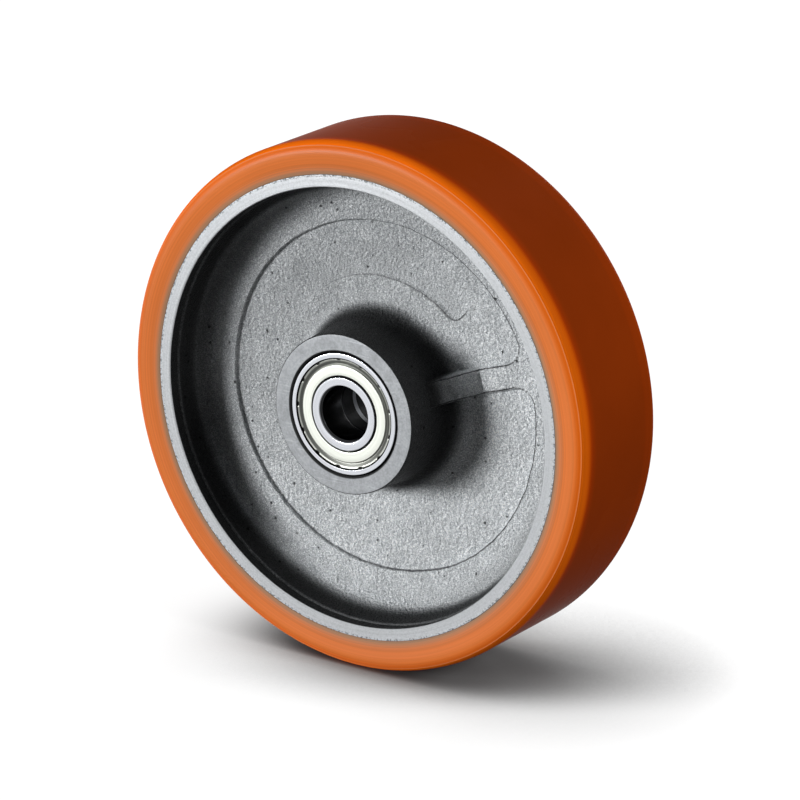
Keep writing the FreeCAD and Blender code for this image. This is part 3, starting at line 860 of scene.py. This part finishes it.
class WHEEL_OT_rings(bpy.types.Operator):
    """Grinds the four bearing rings with their ball tracks, and the spacer between them"""

    bl_idname = "wheel.make_rings"
    bl_label = "Make Bearing Rings"

    def execute(self, context):
        size = millimetres(context.scene.wheel_bearing)
        half, outer, bore = size.half_width, size.outer_radius, size.bore_radius
        outer_front = [
            (19.6, -1.9, 0, 1, 0),
            (19.6, -5.6, 0, 1, 0),
            (21.45, -5.6, 0, 1, 0),
            (21.45, -6.3, 0, 1, 0),
            (21.1, -6.65, 0, 1, 0),
            (21.1, -half, 0.12, 3, 0),
            (outer - 0.75, -half, 0.35, 2, 0),
            (outer, -half + 0.75, 0.35, 4, 0),
        ]
        inner_front = [
            (bore, -half + 1.0, 0.3, 2, 0),
            (bore + 1.0, -half, 0.25, 3, 0),
            (INNER_CORNER, -half, 0.12, 1, 0),
            (14.0, -half + 0.4, 0.12, 3, 0),
            (14.0, -2.0, 0, 1, 0),
        ]
        for name, front, body, centre, reach, groove_half in (
            ("outer", outer_front, "wheel", 16.639, TRACK_RADIUS, 1.95),
            ("inner", inner_front, "axle_side", 16.861, -TRACK_RADIUS, 2.05),
        ):
            swing = math.asin(groove_half / TRACK_RADIUS)
            track = [(centre + reach * math.cos(turn), TRACK_RADIUS * math.sin(turn), 0, 1, 0)
                     for turn in np.linspace(-swing, swing, 13)]
            back = [(radius, -depth, *rest) for radius, depth, *rest in reversed(front)]
            if name == "outer":
                corners = list(reversed(track)) + front[1:] + back[:-1]
            else:
                corners = front[:-1] + track + back[1:]
            for side in SIDES:
                points, finishes = section(corners, 20.0)
                grid = swept(set_in_hub(points, side), even(192))
                mesh = grid_mesh(f"{side}_{name}_ring", grid, [FINISHES["ring"]], finishes)
                finished(f"{side.title()}_{name}_ring", mesh, body, [f"{side}_{name}_race"])
        tube = [
            (10.2, -15.4, 0, 1, 0),
            (10.6, -15.8, 0, 1, 0),
            (12.2, -15.8, 0, 1, 0),
            (12.6, -15.4, 0, 6, 0),
        ]
        points, finishes = section(mirrored(tube), 20.0)
        mesh = grid_mesh("Spacer", swept(points, even(160)), [FINISHES["tube"]], finishes)
        finished("Spacer_sleeve", mesh, "axle_side", ["spacer_tube"])
        return {"FINISHED"}


class WHEEL_OT_shields(bpy.types.Operator):
    """Presses the four shields: one staked sector, repeated round the bearing"""

    bl_idname = "wheel.make_shields"
    bl_label = "Make Shields"

    def execute(self, context):
        bearing = context.scene.wheel_bearing
        corners = [
            (14.5, -6.6, 0.12, 4, 0),
            (18.2, -6.6, 0.12, 2, 0),
            (18.42, -5.98, 0.1, 1, 0),
            (18.8, -5.95, 0.15, 5, 0),
            (20.1, -6.52, 0.25, 2, 0),
            (20.6, -6.62, 0.12, 3, 0),
            (20.85, -6.05, 0.08, 1, 0),
            (21.4, -6.0, 0.05, 1, 0),
            (21.4, -5.65, 0, 1, 0),
            (20.3, -5.65, 0, 1, 0),
            (19.0, -5.5, 0.3, 1, 0),
            (18.2, -5.5, 0.25, 1, 0),
            (17.9, -6.25, 0.2, 1, 0),
            (14.5, -6.25, 0, 1, 0),
        ]
        points, finishes = section(corners, 15.0)
        step = 2 * math.pi / bearing.notch_count
        turns = np.linspace(-step / 2, step / 2, 31)
        across, radius = 20.7 * turns[None, :], points[:, :1]
        notch = bell(across, 0.75, 4) * bell(radius - 20.85, 0.55, 4) * (points[:, 1:] < -5.9)
        # Painted shade, stored in the mesh: a dark spot over each notch and dark rings in the groove by the
        # ring's lip, in the channel, on the crest and on the curl.
        spot = bell(across, 1.05, 4) * bell(radius - 20.75, 0.95, 4)
        groove = 0.97 * smooth(20.5, 20.65, radius)
        channel = 0.9 * bell(radius - 18.6, 0.3)
        crest = 0.55 * smooth(19.7, 20.1, radius)
        curl = 0.78 * smooth(18.6, 18.9, radius) * smooth(20.3, 19.9, radius)
        painted_shade = reduce(np.maximum, [spot, crest, groove, channel, curl])
        for side in SIDES:
            for half in ("outboard", "inboard"):
                seated = set_in_hub(points, side, half)
                grid = swept(seated, turns)
                outward = np.sign(seated[0, 1] - SIDES[side] * bearing.offset / MM)
                grid[..., 1] -= outward * 0.4 * notch
                mesh = grid_mesh("sector", grid, [FINISHES["shield"]], finishes, open_sector=True)
                mark_painted_shade(mesh, painted_shade)
                whole = repeated(mesh, bearing.notch_count, bearing.notch_turn, 2e-6, FINISHES["shield"])
                name = f"{side.title()}_{half}_cover"
                finished(name, whole, "wheel", [f"{side}_{half}_shield"])
        return {"FINISHED"}


class WHEEL_OT_balls(bpy.types.Operator):
    """Sets the balls and the cage rivets round both bearings, and finishes the cages"""

    bl_idname = "wheel.make_balls"
    bl_label = "Make Balls and Rivets"

    def execute(self, context):
        bearing = context.scene.wheel_bearing
        rivet = [(0.0, -1.05), (0.5, -1.0), (0.85, -0.82), (1.0, -0.6), (0.6, -0.6)]
        outline = rivet + [(radius, -depth) for radius, depth in reversed(rivet)]
        for side, sign in SIDES.items():
            middle = Matrix.Translation((bearing.pitch_radius, sign * bearing.offset, 0))
            ball, spun = bmesh.new(), bmesh.new()
            bmesh.ops.create_icosphere(ball, subdivisions=5, radius=bearing.ball_radius, matrix=middle)
            places = [middle @ Vector((radius * MM, depth * MM, 0)) for radius, depth in outline]
            line = [spun.verts.new(place) for place in places]
            edges = [spun.edges.new(pair) for pair in zip(line, line[1:])]
            bmesh.ops.spin(spun, geom=line + edges, cent=middle.translation, axis=(0, 1, 0),
                           angle=2 * math.pi, steps=20, use_merge=True)
            bmesh.ops.remove_doubles(spun, verts=spun.verts, dist=1e-6)
            bmesh.ops.recalc_face_normals(spun, faces=spun.faces)
            for kind, shape, first_turn, finish, nodes, sharp in (
                ("ball", ball, 0.0, "ball", "balls", 180.0),
                ("rivet", spun, math.pi / bearing.ball_count, "cage", "cage_rivets", 32.0),
            ):
                mesh = bpy.data.meshes.new(kind)
                shape.to_mesh(mesh)
                shape.free()
                whole = repeated(mesh, bearing.ball_count, first_turn, 0.0, FINISHES[finish])
                name = f"{side.title()}_{kind}_set"
                finished(name, whole, f"{side}_ball_cage", [f"{side}_{nodes}"], sharp)
            for half in ("outboard", "inboard"):
                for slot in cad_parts[f"{side}_{half}_cage"].material_slots:
                    slot.material = FINISHES["cage"]
        return {"FINISHED"}


class WHEEL_OT_finishes(bpy.types.Operator):
    """Mixes every finish: polyurethane, cast and turned iron, and the bearing steels"""

    bl_idname = "wheel.make_finishes"
    bl_label = "Make Finishes"

    def execute(self, context):
        make_finishes(context.scene)
        return {"FINISHED"}


class WHEEL_OT_studio(bpy.types.Operator):
    """Sets the floor, the soft light and the camera"""

    bl_idname = "wheel.make_studio"
    bl_label = "Make Studio"

    def lay_floor(self, scene, studio):
        """White paper that shows only the wheel's contact shadow, painted from its ambient occlusion and
        deepest to the right and behind.
        """
        ground, reach = -scene.wheel_tyre.tread_radius, 6.0
        corners = [(reach * x, reach * y, ground) for x, y in ((-1, -1), (1, -1), (1, 1), (-1, 1))]
        mesh = bpy.data.meshes.new("Floor")
        mesh.from_pydata(corners, [], [(0, 1, 2, 3)])
        placed("Floor", mesh)
        white = (1, 1, 1, 1)
        paper = Surface("Floor_paper", (0.16,) * 3, 0.9, Specular_IOR_Level=0.0, Emission_Color=white)
        mesh.materials.append(paper.made)
        tree = paper.tree
        rays = values(put(tree, "ShaderNodeLightPath"))
        open_air = values(put(tree, "ShaderNodeAmbientOcclusion", {"Distance": 0.07}, samples=16))["AO"]
        across = values(put(tree, "ShaderNodeSeparateXYZ", {"Vector": paper.place}))["X"]
        towards = {0: paper.place, 1: (0.57, -0.82, 0.0)}
        nearer = values(put(tree, "ShaderNodeVectorMath", towards, operation="DOT_PRODUCT"))["Value"]
        # Painted shadow: the occlusion is raised to a power that grows to the right and behind the wheel.
        depth = across.ranged(-0.1, 0.05, 0.1, 4.5) * nearer.ranged(0.02, 0.07, 1.0, 0.25)
        bright = maths(tree, "POWER", open_air, depth) * 0.98
        seen = rays["Is Camera Ray"].or_more(rays["Is Transmission Ray"])
        glow = maths(tree, "MULTIPLY_ADD", seen, bright - studio.glow, studio.glow)
        # The floor as reflected carries the painted shadow too.
        glow = glow.or_more(rays["Is Glossy Ray"] * (open_air * 0.75))
        tree.links.new(glow.socket, paper.shader["Emission Strength"])

    def light(self, scene, studio):
        """A white room that is seen and reflected but hardly lights, and three soft lights."""
        world = bpy.data.worlds.new("Studio")
        world.use_nodes = True
        scene.world = world
        background = world.node_tree.nodes["Background"].inputs
        rays = values(put(world.node_tree, "ShaderNodeLightPath"))
        seen = rays["Is Camera Ray"].or_more(rays["Is Glossy Ray"].or_more(rays["Is Transmission Ray"]))
        background["Color"].default_value = (1, 1, 1, 1)
        world.node_tree.links.new(seen.ranged(0.0, 1.0, studio.fill, 1.0).socket, background["Strength"])
        for name, towards, strength, spread in (
            ("Key", (-0.6, -0.79, 0.09), studio.key, 20.0),
            ("Side", (0.85, -0.07, 0.5), studio.side, 20.0),
            ("Back", (0.0, 0.92, 0.28), studio.back, 30.0),
        ):
            sun = bpy.data.lights.new(name, "SUN")
            sun.energy = strength
            sun.angle = math.radians(spread)
            placed(name, sun).rotation_euler = Vector(towards).to_track_quat("Z", "Y").to_euler()

    def aim(self, scene, studio):
        """The camera, on its sphere about the wheel's centre and turned a little off it."""
        camera = bpy.data.cameras.new("Camera")
        camera.lens = studio.lens
        camera.clip_end = 50
        turn = Matrix.Rotation
        around = turn(studio.azimuth, 4, "Z") @ turn(math.pi / 2 - studio.elevation, 4, "X")
        nudge = turn(studio.yaw, 4, "Y") @ turn(studio.pitch, 4, "X")
        scene.camera = placed("Camera", camera)
        scene.camera.matrix_world = around @ Matrix.Translation((0, 0, studio.distance)) @ nudge

    def execute(self, context):
        for step in (self.lay_floor, self.light, self.aim):
            step(context.scene, context.scene.wheel_studio)
        context.scene.view_settings.view_transform = "Standard"
        return {"FINISHED"}


OPERATORS = [
    WHEEL_OT_finishes, WHEEL_OT_tyre, WHEEL_OT_casting, WHEEL_OT_rings, WHEEL_OT_shields, WHEEL_OT_balls,
    WHEEL_OT_studio,
]
SETTINGS = {"wheel_tyre": TyreSettings, "wheel_casting": CastingSettings, "wheel_bearing": BearingSettings,
            "wheel_studio": StudioSettings}


class WHEEL_PT_panel(bpy.types.Panel):
    """Lists the wheel's sizes, colours and steps"""

    bl_idname = "WHEEL_PT_panel"
    bl_label = "Polyurethane Wheel"
    bl_space_type = "VIEW_3D"
    bl_region_type = "UI"
    bl_category = "Wheel"

    def draw(self, context):
        for group, settings in SETTINGS.items():
            box = self.layout.box()
            box.label(text=group.split("_")[1].title())
            for name in settings.__annotations__:
                box.prop(getattr(context.scene, group), name)
        for operator in OPERATORS:
            self.layout.operator(operator.bl_idname)


def register():
    for item in [*SETTINGS.values(), *OPERATORS, WHEEL_PT_panel]:
        bpy.utils.register_class(item)
    for group, settings in SETTINGS.items():
        setattr(bpy.types.Scene, group, PointerProperty(type=settings))


def unregister():
    for group in SETTINGS:
        delattr(bpy.types.Scene, group)
    for item in reversed([*SETTINGS.values(), *OPERATORS, WHEEL_PT_panel]):
        bpy.utils.unregister_class(item)


def main():
    register()
    for operator in OPERATORS:
        space, name = operator.bl_idname.split(".")
        getattr(getattr(bpy.ops, space), name)()


if __name__ == "__main__":
    main()
